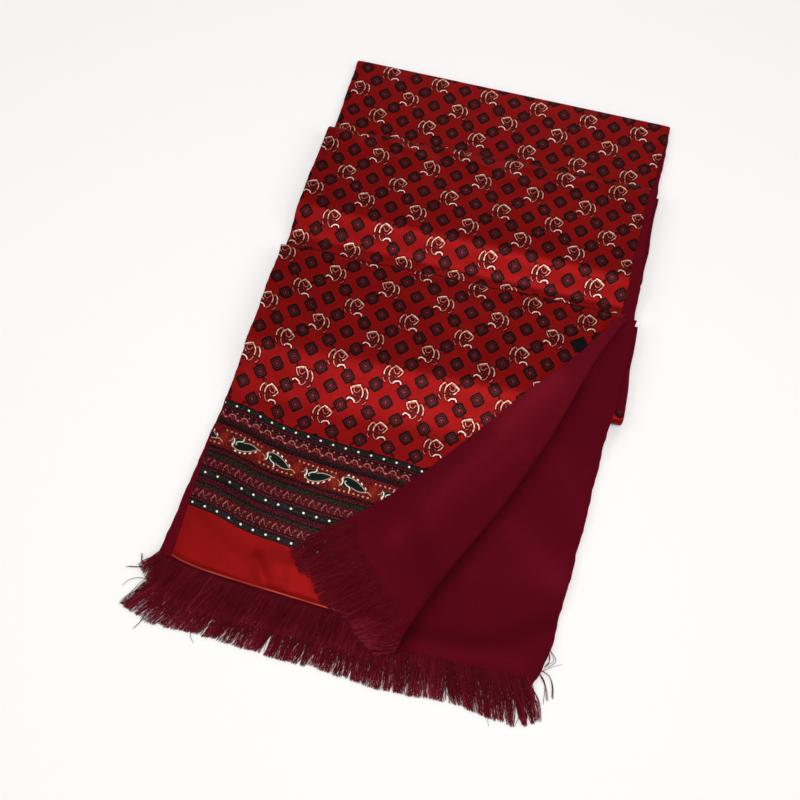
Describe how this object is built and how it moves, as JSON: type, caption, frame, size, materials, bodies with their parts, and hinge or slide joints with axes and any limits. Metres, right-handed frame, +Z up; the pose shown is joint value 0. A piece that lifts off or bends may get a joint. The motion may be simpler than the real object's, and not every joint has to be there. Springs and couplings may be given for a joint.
{
  "type": "folded silk scarf",
  "caption": "Long scarf with a printed satin face and a brushed wool back, folded in steps on a surface, fringed ends together and one corner turned over.",
  "frame": {"origin": "on the surface the scarf lies on, under the middle of its outline", "axes": "+Z up from the surface, +Y from the fringed ends towards the doubling fold, +X to the right as seen from the fringed ends"},
  "size_m": [0.349, 0.5494, 0.0227],
  "materials": {
    "satin": "printed silk satin, glossy",
    "wool": "brushed wool, matt",
    "label": "woven black label, bare"
  },
  "bodies": {
    "root": {"far_run_silk": "satin", "far_run_wool": "wool", "mid_run_silk": "satin", "mid_run_wool": "wool", "near_run_silk": "satin", "near_run_wool": "wool", "lower_ply_wool": "wool", "lower_ply_silk": "satin", "turned_corner_wool": "wool", "turned_corner_silk": "satin", "near_run_fringe": "wool", "lower_ply_fringe": "wool", "turned_corner_fringe": "wool", "label": "label", "hidden_layers": "wool"}
  },
  "joints": []
}
